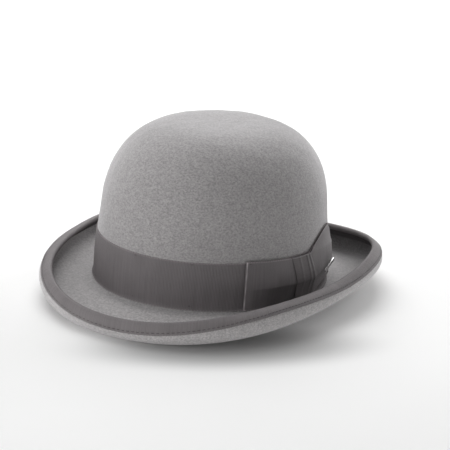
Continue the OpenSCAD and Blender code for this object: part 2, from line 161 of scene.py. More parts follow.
def inside_point(angle, height, inset):
    """Point on the wall, inset from the felt's inner skin."""
    return crown_point(angle, 1.0, height, FELT_THICK + inset)


def varied(values, angle):
    mean, sides, back, axes, corners = values
    return (mean + sides * np.cos(2 * angle) + back * np.sin(angle)
            + axes * np.cos(4 * angle) + corners * np.sin(3 * angle))


def curl_radius(angle):
    return varied(CURL_RADIUS, angle)


def curl_turn(angle):
    return rad(varied(CURL_TURN, angle))


def arc(length, direction, turn):
    """Chord of an arc, from its length, first direction and whole turn."""
    half = turn / 2
    chord = length * np.sinc(half / np.pi)
    return chord * np.cos(direction + half), chord * np.sin(direction + half)


def brim(angle, station):
    """Out, up and direction on the brim's upper skin; station 0-1 plate, 1-2 curl, 2-3 lip."""
    angle, station = np.broadcast_arrays(angle, station)
    tilt, turn = rad(varied(PLATE_TILT, angle)), rad(varied(PLATE_TURN, angle))
    plate, curl = np.minimum(station, 1), np.clip(station - 1, 0, 1)
    lip = LIP * np.clip(station - 2, 0, None)
    out, up = arc(plate * varied(PLATE_WIDTH, angle), tilt, turn * plate)
    direction = tilt + turn * plate
    curled = curl_turn(angle) * curl
    curl_out, curl_up = arc(curl_radius(angle) * curled, direction, curled)
    direction = direction + curled
    return (out + curl_out + lip * np.cos(direction),
            up + curl_up + lip * np.sin(direction), direction)


def below(place, depth):
    """Out and up of a brim place, moved square to the skin into the felt."""
    out, up, direction = place
    return out + depth * np.sin(direction), up - depth * np.cos(direction)


def plate_start(angle):
    """Station where the bend from the wall meets the plate."""
    tilt = rad(varied(PLATE_TILT, angle)) + rad(2)
    return BEND_RADIUS * (1 + np.sin(tilt)) / np.cos(tilt) / varied(PLATE_WIDTH, angle)


def bend_centre(angle):
    out, up, direction = brim(angle, plate_start(angle))
    return (out - BEND_RADIUS * np.sin(direction), up + BEND_RADIUS * np.cos(direction),
            direction)


def bend_at(angle, share, depth):
    out, up, direction = bend_centre(angle)
    turn = -np.pi / 2 + (direction + np.pi / 2) * share
    radius = BEND_RADIUS + depth
    return out + radius * np.sin(turn), up - radius * np.cos(turn)


def band_point(angle, height, standoff):
    """Point off the wall's outer face, following the bend at its foot."""
    out, up, _ = bend_centre(angle)
    bend_out = out - np.sqrt(np.maximum(0, BEND_RADIUS ** 2 - (up - height) ** 2))
    swell = np.where(height >= up, 0, bend_out)
    return crown_point(angle, 1.0, height, 0.0, swell + standoff)


def waves(points, wavelength, seed, count=22):
    """Smooth random field of about unit size, the same every run."""
    random = np.random.RandomState(seed)
    axes = random.normal(size=(count, 3))
    axes /= np.linalg.norm(axes, axis=1)[:, None]
    rates = 2 * np.pi / (wavelength * random.uniform(0.7, 1.6, count))
    phases = random.uniform(0, 2 * np.pi, count)
    total = np.zeros(points.shape[:-1])
    for axis, rate, phase in zip(axes, rates, phases):
        total += np.sin(rate * (points @ axis) + phase)
    return total / np.sqrt(count / 2)


# ----------------------------------------------------------------------------------------------
# Mesh builders. The "tc" attribute holds pattern coordinates for the materials, mm; on the felt it
# holds painted shade and painted light instead, and in z on the bow loops a painted highlight and
# painted shade
# ----------------------------------------------------------------------------------------------
def make(name, verts, quads, tris, pattern, part, look):
    """Smooth object in place of a CAD part; look is its material and a slot name, which is not
    used.
    """
    material, slot = look
    mesh = bpy.data.meshes.new(name)
    loops = np.concatenate([quads.ravel(), tris.ravel()]).astype(np.int32)
    starts = np.concatenate([4 * np.arange(len(quads)), quads.size + 3 * np.arange(len(tris))])
    mesh.vertices.add(len(verts))
    mesh.vertices.foreach_set("co", (verts / 1000).astype(np.float32).ravel())
    mesh.loops.add(len(loops))
    mesh.loops.foreach_set("vertex_index", loops)
    mesh.polygons.add(len(starts))
    mesh.polygons.foreach_set("loop_start", starts.astype(np.int32))
    mesh.update(calc_edges=True)
    mesh.validate()
    mesh.polygons.foreach_set("use_smooth", np.full(len(mesh.polygons), True))
    attribute = mesh.attributes.new("tc", "FLOAT_VECTOR", "POINT")
    attribute.data.foreach_set("vector", pattern.astype(np.float32).ravel())
    piece = bpy.data.objects.new(name, mesh)
    bpy.context.scene.collection.objects.link(piece)
    mesh.materials.append(material)
    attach(piece, "root")
    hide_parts(part)


def grid_quads(columns, rows, ring, base=0, flip=False):
    here, row = np.meshgrid(np.arange(columns if ring else columns - 1), np.arange(rows - 1),
                            indexing="ij")
    a = here * rows + row
    b = (here + 1) % columns * rows + row
    quads = np.stack([a, b, b + 1, a + 1], -1).reshape(-1, 4) + base
    return quads[:, ::-1] if flip else quads


def end_cap(outer, rows, inner, inner_rows):
    """Triangles between two edge columns, walking both from first row to last."""
    tris = []
    last, inner_last = rows - 1, inner_rows - 1
    i = j = 0
    while i < last or j < inner_last:
        if j == inner_last or (i < last and (i + 1) / last <= (j + 1) / inner_last):
            tris.append((outer + i, outer + i + 1, inner + j))
            i += 1
        else:
            tris.append((outer + i, inner + j + 1, inner + j))
            j += 1
    return np.array(tris)


def sheet_mesh(outer, inner, ring, poles=None):
    """Closed thick sheet from two skins [column, row], columns anticlockwise and rows downwards.
    Poles are two points that close the first rows."""
    columns, rows = outer.shape[:2]
    inner_rows = inner.shape[1]
    base = columns * rows
    verts = [outer.reshape(-1, 3), inner.reshape(-1, 3)]
    here = np.arange(columns if ring else columns - 1)
    after = (here + 1) % columns
    out_here, out_after = here * rows, after * rows
    in_here, in_after = base + here * inner_rows, base + after * inner_rows
    quads = [grid_quads(columns, rows, ring),
             grid_quads(columns, inner_rows, ring, base, flip=True),
             np.stack([out_here + rows - 1, out_after + rows - 1,
                       in_after + inner_rows - 1, in_here + inner_rows - 1], -1)]
    tris = [np.zeros((0, 3), int)]
    if poles is None:
        quads.append(np.stack([in_here, in_after, out_after, out_here], -1))
    else:
        verts.append(np.array(poles, float))
        pole = np.full_like(here, base + columns * inner_rows)
        tris.append(np.stack([pole, out_after, out_here], -1))
        tris.append(np.stack([pole + 1, in_here, in_after], -1))
    if not ring:
        for column, order in ((0, 1), (columns - 1, -1)):
            cap = end_cap(column * rows, rows, base + column * inner_rows, inner_rows)
            tris.append(cap[:, ::order])
    return np.concatenate(verts), np.concatenate(quads), np.concatenate(tris)


def sheet(name, outer, inner, ring, pattern, inner_pattern=None, poles=None, pole_pattern=0.0,
          **made):
    if inner_pattern is None:
        inner_pattern = np.zeros(inner.shape)
    patterns = [pattern.reshape(-1, 3), inner_pattern.reshape(-1, 3)]
    if poles is not None:
        patterns.append(np.full((2, 3), pole_pattern))
    make(name, *sheet_mesh(outer, inner, ring, poles), np.concatenate(patterns), **made)


def normals(points, ring=False):
    """Unit normals of a grid of points, from central differences."""
    if ring:
        along = np.roll(points, -1, 0) - np.roll(points, 1, 0)
    else:
        along = np.gradient(points, axis=0)
    normal = np.cross(along, np.gradient(points, axis=1))
    return normal / np.maximum(np.linalg.norm(normal, axis=-1, keepdims=True), 1e-12)


def distances(points):
    """Distance along a path at each of its points."""
    return np.concatenate([[0], np.cumsum(np.linalg.norm(np.diff(points, axis=0), axis=1))])


def tube_quads(rings, sides, closed=False):
    here, side = np.meshgrid(np.arange(rings if closed else rings - 1), np.arange(sides),
                             indexing="ij")
    after, next_side = (here + 1) % rings * sides, (side + 1) % sides
    here = here * sides
    return np.stack([here + side, here + next_side, after + next_side, after + side],
                    -1).reshape(-1, 4)


def tube_caps(rings, sides):
    """End fans, round two middle points that follow the rings."""
    side = np.arange(sides)
    after = (side + 1) % sides
    middle = np.full(sides, rings * sides)
    last = (rings - 1) * sides
    return np.concatenate([np.stack([middle, after, side], -1),
                           np.stack([middle + 1, last + side, last + after], -1)])


def threads(name, paths, radius, sides=8, **made):
    """Round tubes along the paths, as one object."""
    verts, quads, tris, patterns, base = [], [], [], [], 0
    turn = (np.arange(sides) * 2 * np.pi / sides)[None, :, None]
    for path in paths:
        count = len(path)
        along = np.gradient(path, axis=0)
        along /= np.linalg.norm(along, axis=1)[:, None]
        side = np.cross(along, [0, 0, 1.0])
        side /= np.linalg.norm(side, axis=1)[:, None]
        other = np.cross(side, along)
        rings = path[:, None] + radius * (np.cos(turn) * side[:, None]
                                          + np.sin(turn) * other[:, None])
        verts += [rings.reshape(-1, 3), path[:1], path[-1:]]
        quads.append(tube_quads(count, sides) + base)
        tris.append(tube_caps(count, sides) + base)
        base += count * sides + 2
        pattern = grid(distances(path)[:, None], np.arange(sides) / sides, 0.0)
        patterns += [pattern.reshape(-1, 3), np.zeros((2, 3))]
    make(name, *(np.concatenate(parts) for parts in (verts, quads, tris, patterns)), **made)


def stitch_line(start, end, rise):
    """Curved thread, its middle pushed out by the vector rise."""
    t = np.linspace(-1, 1, 9)[:, None]
    return (start + end) / 2 + (end - start) / 2 * t + rise * (1 - np.abs(t) ** 3)


def stitch_on(surface, angle, length, out):
    """Stitch along surface(angle, out); out is the stand-off of its middle."""
    step = 0.002
    span = np.linalg.norm(surface(angle + step, 0.0) - surface(angle - step, 0.0))
    half = step * length / span
    start, end = surface(angle - half, 0.0), surface(angle + half, 0.0)
    return stitch_line(start, end, surface(angle, out) - (start + end) / 2)


# ----------------------------------------------------------------------------------------------
# Materials
# ----------------------------------------------------------------------------------------------
class Material:
    """Node material with a Principled shader. Most methods add a node and return its output."""

    def __init__(self, name):
        self.data = bpy.data.materials.new(name)
        self.data.use_nodes = True
        self.tree = self.data.node_tree
        self.tree.nodes.clear()
        self.output = self.node("ShaderNodeOutputMaterial")
        self.shader = self.node("ShaderNodeBsdfPrincipled")
        self.feed(self.output.inputs[0], self.shader.outputs[0])

    def node(self, kind, **settings):
        node = self.tree.nodes.new(kind)
        for key, value in settings.items():
            setattr(node, key, value)
        return node

    def feed(self, socket, value):
        """Link an output to the socket, or set the socket's own value."""
        if hasattr(value, "links"):
            self.tree.links.new(value, socket)
        else:
            socket.default_value = value

    def set(self, **values):
        for key, value in values.items():
            self.feed(self.shader.inputs[key.replace("_", " ")], value)

    def place(self):
        return self.node("ShaderNodeTexCoord").outputs["Object"]

    def pattern(self):
        return self.node("ShaderNodeAttribute", attribute_name="tc").outputs["Vector"]

    def separate(self, vector):
        node = self.node("ShaderNodeSeparateXYZ")
        self.feed(node.inputs[0], vector)
        return node.outputs

    def grey(self, value):
        node = self.node("ShaderNodeCombineXYZ")
        for socket in node.inputs:
            self.feed(socket, value)
        return node.outputs[0]

    def noise(self, vector, scale=1.0, detail=2.0, rough=0.5, distort=0.0):
        node = self.node("ShaderNodeTexNoise")
        for key, value in (("Scale", scale), ("Detail", detail), ("Roughness", rough),
                           ("Distortion", distort), ("Vector", vector)):
            self.feed(node.inputs[key], value)
        return node.outputs[0]

    def math(self, operation, a, b=0.0, clamp=False):
        node = self.node("ShaderNodeMath", operation=operation, use_clamp=clamp)
        self.feed(node.inputs[0], a)
        self.feed(node.inputs[1], b)
        return node.outputs[0]

    def add(self, a, b, clamp=False):
        return self.math("ADD", a, b, clamp)

    def subtract(self, a, b, clamp=False):
        return self.math("SUBTRACT", a, b, clamp)

    def multiply(self, a, b, clamp=False):
        return self.math("MULTIPLY", a, b, clamp)

    def wave(self, length, pitch):
        return self.math("SINE", self.multiply(length, 2 * np.pi / pitch))

    def stretch(self, vector, scale):
        node = self.node("ShaderNodeMapping")
        node.inputs["Scale"].default_value = scale
        self.feed(node.inputs["Vector"], vector)
        return node.outputs[0]

    def ramp(self, factor, *stops):
        """Stops are (position, colour), where a colour may be one grey value."""
        node = self.node("ShaderNodeValToRGB")
        elements = node.color_ramp.elements
        while len(elements) < len(stops):
            elements.new(0.5)
        for element, (position, colour) in zip(elements, stops):
            element.position = position
            element.color = (*(colour if isinstance(colour, tuple) else (colour,) * 3), 1)
        self.feed(node.inputs[0], factor)
        return node.outputs[0]

    def mix(self, factor, first, second, mode="MIX"):
        node = self.node("ShaderNodeMix", data_type="RGBA", blend_type=mode)
        # a mix node's colour sockets are inputs 6 and 7 and output 2
        for index, value in ((0, factor), (6, first), (7, second)):
            self.feed(node.inputs[index], value)
        return node.outputs[2]

    def tint(self, first, second):
        return self.mix(1.0, first, second, "MULTIPLY")

    def bump(self, height, strength, distance):
        node = self.node("ShaderNodeBump")
        node.inputs["Strength"].default_value = strength
        node.inputs["Distance"].default_value = distance
        self.feed(node.inputs["Height"], height)
        return node.outputs[0]


def shades(colour, *factors):
    return [tuple(x * factor for x in colour) for factor in factors]


def felt_material():
    """The pattern attribute holds a grey of painted shade and painted light that darkens or
    lightens the felt.
    """
    mat = Material("felt_grey")
    place = mat.place()
    clouds = mat.noise(place, scale=28, detail=3, rough=0.55)
    mottle = mat.noise(place, scale=260, detail=4, rough=0.62)
    fibres = mat.noise(mat.stretch(place, (1, 1, 0.55)), scale=1500, detail=4, rough=0.7,
                       distort=0.6)
    colour = mat.ramp(mottle, (0.25, (0.328, 0.316, 0.318)), (0.5, (0.358, 0.346, 0.348)),
                      (0.78, (0.390, 0.377, 0.379)))
    cloud_share = mat.multiply(mat.subtract(clouds, 0.35, clamp=True), 0.5)
    colour = mat.mix(cloud_share, colour, (0.402, 0.389, 0.391, 1))
    colour = mat.tint(colour, mat.ramp(fibres, (0.3, 0.84), (0.55, 1), (0.8, (1.18, 1.17, 1.16))))
    grain = mat.noise(mat.stretch(place, (1, 1, 1.5)), scale=620, rough=0.6, distort=0.3)
    colour = mat.tint(colour, mat.ramp(grain, (0.34, 0.80), (0.5, 1),
                                       (0.68, (1.22, 1.215, 1.21))))
    # painted shade and painted light, from the pattern attribute
    colour = mat.tint(colour, mat.grey(mat.separate(mat.pattern())[0]))
    mat.set(Base_Color=colour, Roughness=0.93, Sheen_Weight=0.6, Sheen_Roughness=0.42,
            Sheen_Tint=(0.95, 0.94, 0.96, 1), Specular_IOR_Level=0.18)
    height = mat.add(mat.add(mat.multiply(mottle, 0.7), mat.multiply(fibres, 0.5)),
                     mat.multiply(grain, 0.8))
    mat.set(Normal=mat.bump(height, strength=0.5, distance=0.00035))
    return mat.data


def grosgrain_material(name, colour, sheen=0.12, painted_curl_shade=None, width=None):
    """Pattern: x along the ribbon, y across, z painted light: above 0 a painted highlight, below 0
    painted shade.
    The ribs are in the mesh and the threads are here. A painted curl shade darkens y < 0; a width
    adds pale edges."""
    mat = Material(name)
    pattern = mat.pattern()
    along, across, painted_light_and_shade = mat.separate(pattern)
    warp = mat.wave(across, pitch=0.34)
    streaks = mat.noise(mat.stretch(pattern, (1.5, 0.02, 0)))
    clouds = mat.noise(mat.stretch(pattern, (0.05, 0.05, 0)), detail=3, rough=0.55)
    fine = mat.noise(mat.stretch(pattern, (2.2, 6.0, 0)), detail=3, rough=0.6)
    tone = mat.add(mat.multiply(streaks, 0.5),
                   mat.add(mat.multiply(clouds, 0.35), mat.multiply(fine, 0.35)))
    dark, pale = shades(colour, 0.76, 1.24)
    result = mat.ramp(tone, (0.35, dark), (0.6, colour), (0.85, pale))
    if width:
        # pale dots along both edges, one for every second rib, fading over 0.75 mm
        from_middle = mat.math("ABSOLUTE", mat.subtract(across, width / 2))
        edge = mat.subtract(width / 2, from_middle)
        dots = mat.add(0.65, mat.multiply(mat.wave(along, pitch=2 * RIB_PITCH), 0.35))
        fade = mat.subtract(1.0, mat.multiply(edge, 1 / 0.75), clamp=True)
        result = mat.tint(result, mat.ramp(mat.multiply(fade, dots), (0.0, 1),
                                           (1.0, (1.9, 1.85, 1.85))))
    # pattern z lightens as a painted highlight and darkens as painted shade
    result = mat.tint(result, mat.grey(mat.add(1.0, painted_light_and_shade)))
    if painted_curl_shade:
        # the painted shade sets in over 1.6 mm
        share = mat.add(1.0, mat.multiply(across, 1 / 1.6), clamp=True)
        result = mat.tint(result, mat.ramp(share, (0.0, painted_curl_shade), (1.0, 1)))
    mat.set(Base_Color=result, Roughness=0.55, Sheen_Weight=sheen, Sheen_Roughness=0.35,
            Sheen_Tint=(0.9, 0.88, 0.9, 1), Specular_IOR_Level=0.35)
    height = mat.add(mat.multiply(warp, 0.4), fine)
    mat.set(Normal=mat.bump(height, strength=0.35, distance=0.00008))
    return mat.data


def thread_material(name, colour):
    """Twisted plies; pattern x runs along the thread, y round it."""
    mat = Material(name)
    along, turn, _ = mat.separate(mat.pattern())
    ply = mat.wave(mat.add(mat.multiply(along, 1.6), mat.multiply(turn, 2.0)), pitch=1)
    dark, pale = shades(colour, 0.6, 1.25)
    colour = mat.ramp(mat.add(mat.multiply(ply, 0.5), 0.5), (0.0, dark), (1.0, pale))
    mat.set(Base_Color=colour, Roughness=0.6, Sheen_Weight=0.2,
            Normal=mat.bump(ply, strength=0.5, distance=0.00008))
    return mat.data


def leather_material():
    mat = Material("leather_dark")
    place = mat.place()
    cells = mat.node("ShaderNodeTexVoronoi", feature="DISTANCE_TO_EDGE")
    cells.inputs["Scale"].default_value = 900
    mat.feed(cells.inputs["Vector"], mat.stretch(place, (1, 1, 0.8)))
    pores = mat.multiply(cells.outputs["Distance"], 2.2, clamp=True)
    clouds = mat.noise(place, scale=35, detail=4, rough=0.6)
    tone = mat.add(mat.multiply(clouds, 0.75), mat.multiply(pores, 0.25))
    mat.set(Base_Color=mat.ramp(tone, (0.3, (0.022, 0.016, 0.013)),
                                (0.6, (0.050, 0.038, 0.031)), (0.85, (0.080, 0.062, 0.050))),
            Roughness=mat.ramp(clouds, (0.3, 0.42), (0.7, 0.58)))
    wrinkles = mat.noise(place, scale=420, detail=3, rough=0.6)
    height = mat.add(mat.multiply(pores, 0.6), mat.multiply(wrinkles, 0.6))
    mat.set(Normal=mat.bump(height, strength=0.35, distance=0.0002))
    return mat.data


def satin_material():
    mat = Material("satin_lining")
    place = mat.place()
    weave = mat.noise(mat.stretch(mat.pattern(), (6.0, 0.25, 1)), detail=3, rough=0.6)
    clouds = mat.noise(place, scale=24)
    tone = mat.add(mat.multiply(weave, 0.5), mat.multiply(clouds, 0.5))
    colour = mat.ramp(tone, (0.3, (0.050, 0.047, 0.050)), (0.6, (0.075, 0.070, 0.074)),
                      (0.85, (0.105, 0.099, 0.104)))
    mat.set(Base_Color=colour, Roughness=0.34, Anisotropic=0.6, Sheen_Weight=0.3,
            Normal=mat.bump(weave, strength=0.15, distance=0.0001))
    return mat.data


def metal_material():
    mat = Material("badge_metal")
    brushing = mat.noise(mat.stretch(mat.place(), (60, 60, 2400)), detail=3, rough=0.6)
    mat.set(Base_Color=mat.ramp(brushing, (0.3, (0.62, 0.62, 0.61)), (0.7, (0.82, 0.82, 0.81))),
            Metallic=1.0, Roughness=mat.ramp(brushing, (0.3, 0.16), (0.7, 0.28)),
            Normal=mat.bump(brushing, strength=0.08, distance=0.00005))
    return mat.data


def plastic_material():
    mat = Material("reed_plastic")
    mottle = mat.noise(mat.place(), scale=300, detail=3, rough=0.6)
    mat.set(Base_Color=mat.ramp(mottle, (0.3, (0.62, 0.61, 0.57)), (0.7, (0.74, 0.73, 0.69))),
            Roughness=0.45, Normal=mat.bump(mottle, strength=0.1, distance=0.0001))
    return mat.data


def woven_material(name, colour, pitch):
    mat = Material(name)
    pattern = mat.pattern()
    along, across, _ = mat.separate(pattern)
    weave = mat.multiply(mat.wave(along, pitch), mat.wave(across, pitch))
    clouds = mat.noise(mat.stretch(pattern, (0.4, 0.4, 1)), detail=3, rough=0.6)
    dark, pale = shades(colour, 0.8, 1.12)
    tone = mat.add(mat.multiply(weave, 0.25), clouds)
    mat.set(Base_Color=mat.ramp(tone, (0.25, dark), (0.8, pale)), Roughness=0.75,
            Sheen_Weight=0.25, Normal=mat.bump(weave, strength=0.4, distance=0.0001))
    return mat.data


# Looks: material and slot
FELT = felt_material(), "felt"
RIBBON = grosgrain_material("grosgrain_band", (0.165, 0.151, 0.155), width=BAND_WIDTH), "ribbon"
# the band's ribbon at about 0.7 of its colour and half its sheen: painted shade on the knot
SHADED_KNOT_RIBBON = grosgrain_material("grosgrain_knot", (0.116, 0.104, 0.107), sheen=0.06), "ribbon"
# the binding darkened on its inner face inside the curl: painted shade
BINDING_RIBBON = grosgrain_material("grosgrain_binding", (0.200, 0.184, 0.188),
                                    painted_curl_shade=0.36), "ribbon"
THREAD = thread_material("thread_binding", (0.052, 0.047, 0.046)), "thread"
INSIDE_THREAD = thread_material("thread_inside", (0.16, 0.14, 0.125)), "thread_inside"
LEATHER = leather_material(), "leather"
SATIN = satin_material(), "satin"
METAL = metal_material()
REED = plastic_material()
TAPE = woven_material("tape_cotton", (0.050, 0.046, 0.045), pitch=0.5), "tape"
LABEL = woven_material("label_woven", (0.70, 0.69, 0.66), pitch=0.3), "label"


# ----------------------------------------------------------------------------------------------
# Felt hood
# ----------------------------------------------------------------------------------------------
def felt_skin(angle, depth, fine):
    """Skin of the felt from near the apex to the brim's edge, at a depth below the outer skin,
    and each row's station on the brim (0 on the crown, 2 on the lip)."""
    def count(rows):
        return int(rows * fine)

    spread, rise = dome_rows(0.02, 0.80, 0, count(30), count(30))
    wall = np.linspace(WALL_HEIGHT, 8, count(26))[1:]
    out, height = bend_at(angle, np.linspace(0, 1, count(9)), depth)
    parts = [dome_point(angle, spread, rise, depth),
             crown_point(angle, 1.0, wall, depth),
             crown_point(angle, 1.0, height, 0.0, out)]
    crown_rows = sum(part.shape[1] for part in parts)
    steps = np.linspace(0, 1, count(26))[1:]
    lip_steps = np.linspace(0, 1, count(4))[1:]
    start = plate_start(angle)
    for stations in (start + (1 - start) * steps, 1 + steps, 2 + lip_steps):
        out, height = below(brim(angle, stations), depth)
        if depth > 0:
            height = np.maximum(height, REST)
        parts.append(beyond_oval(angle, out, height))
    station = np.concatenate([np.zeros(crown_rows), steps, 1 + steps,
                              np.full(len(lip_steps), 2.0)])
    return np.concatenate(parts, 1), station


def felt_hood():
    count = 448
    angle = (np.arange(count) * 2 * np.pi / count)[:, None]
    outer, station = felt_skin(angle, 0.0, 1.35)
    inner, inner_station = felt_skin(angle, FELT_THICK, 1.0)
    # slow waves and a fine mottle of hand-blocked felt, left out under the hat band
    relief = (0.13 * waves(outer, 60, seed=3) + 0.07 * waves(outer, 17, seed=4)
              + 0.035 * waves(outer, 3.4, seed=5, count=30))
    reach = np.hypot(outer[..., 0] / HALF_WIDTH, outer[..., 1] / HALF_DEPTH)
    keep = np.where(reach > 1.12, 0.35, np.clip((outer[..., 2] - 42) / 10, 0, 1))
    # painted shade inside the curl at the back, painted light on the brim's top at 65.4 degrees
    # before +X
    curl = smooth(station, 0.25, 1.05) * smooth(np.sin(angle), 0.0, 0.6)
    painted_brim_light = smooth(np.cos(angle - rad(-65.4)), 0.2, 0.95) * smooth(reach, 1.03, 1.12)
    shade = (1 - 0.62 * curl) * (1 + 0.42 * painted_brim_light)
    # painted light on the underside of the curl
    painted_underside_light = 1 + 0.30 * smooth(inner_station, 0.6, 1.1) + 0 * angle
    sheet("felt_hood", outer + normals(outer, True) * (relief * keep)[..., None], inner, True,
          grid(shade, shade, shade), grid(painted_underside_light, painted_underside_light, painted_underside_light),
          poles=(apex(0), apex(FELT_THICK)), pole_pattern=1.0, part="felt_body", look=FELT)


# ----------------------------------------------------------------------------------------------
# Ribbon: ribs across it and small loops on both woven edges
# ----------------------------------------------------------------------------------------------
def rib_wave(along, pitch):
    """0 in the groove, 1 on the rib."""
    return 0.5 - 0.5 * np.cos(2 * np.pi * along / pitch)


def ribbed_path(angles, points):
    """Even angles along a path with whole ribs, their distances and the rib wave, as columns."""
    travel = distances(points)
    length = travel[-1]
    ribs = int(round(length / RIB_PITCH))
    along = np.linspace(0, length, ribs * RIB_STEPS + 1)
    even = np.interp(along, travel, angles)
    return even[:, None], along[:, None], rib_wave(along, length / ribs)[:, None]


def edge_loops(size, rib, across, edge):
    """Upward shift of the edge loops; across is 0 at the top edge, edge is the distance in."""
    return size * rib * bell(edge, 0, 0.35) * np.where(across < 0.5, 1, -1)


def rib_fade(edge):
    return 0.4 + 0.6 * np.clip(edge / 0.5, 0, 1)


# Brim binding -----------------------------------------------------------------------------------
def binding_station(angle, radius):
    """Station of the binding's edge, on a skin of the curl with this radius."""
    return 2 - (BINDING_WIDTH - LIP) / (radius * curl_turn(angle))


def binding_skin(angle, rib, gap, rib_rise, inside_rows, edge_rows, outside_rows):
    """Ribbon folded round the brim's edge, and each row's distance across it."""
    loop = 0.30 * rib / (curl_radius(angle) * curl_turn(angle))
    lip = brim(angle, 3)
    tilt = lip[2]
    edge_wrap = 5  # distance across allowed for the turn round the edge
    flap = BINDING_WIDTH - LIP
    rows, across = [], []

    def add_row(station, depth, distance):
        rows.append(beyond_oval(angle, *below(brim(angle, station), depth)))
        across.append(distance)

    for t in np.linspace(0, 1, inside_rows):
        start = binding_station(angle, curl_radius(angle)) - loop * (1 - t) ** 6
        lifted = gap + rib_rise * rib * (0.35 + 0.65 * min(1, t * 5))
        add_row(start + (2 - start) * t, -lifted, -(1 - t) * flap)
    for t in (0.5, 1.0):
        add_row(2 + t, -(gap + rib_rise * rib), t * LIP)
    middle_out, middle_up = below(lip, FELT_THICK / 2)
    radius = FELT_THICK / 2 + gap + rib_rise * rib
    for t in np.linspace(0, 1, edge_rows)[1:]:
        back, forward = radius * np.cos(np.pi * t), radius * np.sin(np.pi * t)
        rows.append(beyond_oval(angle,
                                middle_out - back * np.sin(tilt) + forward * np.cos(tilt),
                                middle_up + back * np.cos(tilt) + forward * np.sin(tilt)))
        across.append(LIP + t * edge_wrap)
    for t in (0.5, 1.0):
        add_row(3 - t, FELT_THICK + gap + rib_rise * rib, LIP + edge_wrap + t * LIP)
    for t in np.linspace(0, 1, outside_rows)[1:]:
        start = binding_station(angle, curl_radius(angle) + FELT_THICK) - loop * t ** 6
        lifted = gap + rib_rise * rib * (0.35 + 0.65 * min(1, (1 - t) * 5))
        add_row(2 - (2 - start) * t, FELT_THICK + lifted, 2 * LIP + edge_wrap + t * flap)
    return np.concatenate(rows, 1), np.array(across)


def brim_binding():
    gap = rad(0.03)  # half the slit at the back
    angles = np.linspace(np.pi / 2 + gap, np.pi / 2 + 2 * np.pi - gap, 4001)
    edge = beyond_oval(angles, *below(brim(angles, 3), FELT_THICK / 2))
    angle, along, rib = ribbed_path(angles, edge)
    outer, across = binding_skin(angle, rib, 0.1 + BINDING_THICK - RIB_RISE / 2, RIB_RISE,
                                 inside_rows=8, edge_rows=8, outside_rows=9)
    inner, _ = binding_skin(angle, rib, 0.06, 0.0, inside_rows=3, edge_rows=4, outside_rows=3)
    outer = outer + normals(outer) * (0.05 * waves(outer, 14, seed=11))[..., None]
    sheet("brim_binding_ribbon", outer, inner, False, grid(along, across, 0.0),
          part="brim_binding", look=BINDING_RIBBON)


def binding_stitch_point(angle, standoff):
    radius = curl_radius(angle) + FELT_THICK
    station = binding_station(angle, radius) + 1.8 / (radius * curl_turn(angle))
    return beyond_oval(angle, *below(brim(angle, station), FELT_THICK + standoff))


def binding_stitches():
    count, half_length, step = 256, 1.15, 0.001
    t = np.linspace(-1, 1, 9)
    stitches = []
    for i in range(count):
        angle = rad(90.7 + 358.6 * i / count)
        span = np.linalg.norm(binding_stitch_point(angle + step, 0.6)
                              - binding_stitch_point(angle - step, 0.6))
        half = half_length * 2 * step / span
        stitches.append(binding_stitch_point(angle + half * t, 0.72 - 0.42 * np.abs(t) ** 3))
    threads("binding_stitches", stitches, radius=0.23, part="binding_thread", look=THREAD)


# Hat band ---------------------------------------------------------------------------------------
def hat_band():
    angles = rad(np.linspace(KNOT_AT + 0.3, KNOT_AT + 359.7, 4001))
    angle, along, rib = ribbed_path(angles, band_point(angles, 20.0, 0.5))
    across = np.concatenate([[0, 0.006, 0.014], np.linspace(0.03, 0.80, 14),
                             np.linspace(0.82, 0.985, 14), [0.993, 1]])[None, :]
    edge = np.minimum(across, 1 - across) * BAND_WIDTH
    slack = 0.10 * waves(grid(np.cos(angle) * 95, np.sin(angle) * 95, across * 26), 46, seed=21)
    height = BAND_FOOT + BAND_WIDTH * (1 - across) + edge_loops(0.40, rib, across, edge)
    standoff = (BAND_GAP + RIBBON_THICK - RIB_RISE / 2 + RIB_RISE * rib * rib_fade(edge)
                + np.maximum(slack, 0) * np.clip(edge / 4, 0, 1))
    back = np.array([0, 0.1, 0.5, 0.8, 0.88, 0.94, 0.97, 1.0])
    back_loops = 0.40 * rib * np.where(back == 0, 1, np.where(back == 1, -1, 0))
    back_height = BAND_FOOT + BAND_WIDTH * (1 - back) + back_loops
    sheet("hat_band_ribbon", band_point(angle, height, standoff),
          band_point(angle, back_height, BAND_GAP - 0.04), False,
          grid(along, across * BAND_WIDTH, 0.0), part="hat_band", look=RIBBON)


# ----------------------------------------------------------------------------------------------
# Bow: a ribbon folded into two loops, pinched by the knot. Across is 0 at its top edge and 1 at
# the bottom; "turn" is degrees round the hat, "arc" the same place as a distance
# ----------------------------------------------------------------------------------------------
ARC_ANGLES = rad(np.linspace(-80, 70, 3001))
ARC_LENGTHS = distances(band_point(ARC_ANGLES, 20.0, 1.2))


def arc_at(turn):
    return np.interp(rad(turn), ARC_ANGLES, ARC_LENGTHS)


def angle_at(arc_length):
    return np.interp(arc_length, ARC_LENGTHS, ARC_ANGLES)


ARC_FRONT, ARC_REAR, ARC_KNOT = arc_at(BOW_FRONT), arc_at(BOW_REAR), arc_at(KNOT_AT)


def turn_at(arc_length):
    return np.degrees(angle_at(np.clip(arc_length, ARC_FRONT, ARC_REAR)))


def to_front(turn):
    """0 at the knot, 1 at the front loop's end."""
    return np.clip((KNOT_AT - turn) / (KNOT_AT - BOW_FRONT), 0, 1)


def to_rear(turn):
    """0 at the knot, 1 at the rear loop's end."""
    return np.clip((turn - KNOT_AT) / (BOW_REAR - KNOT_AT), 0, 1)


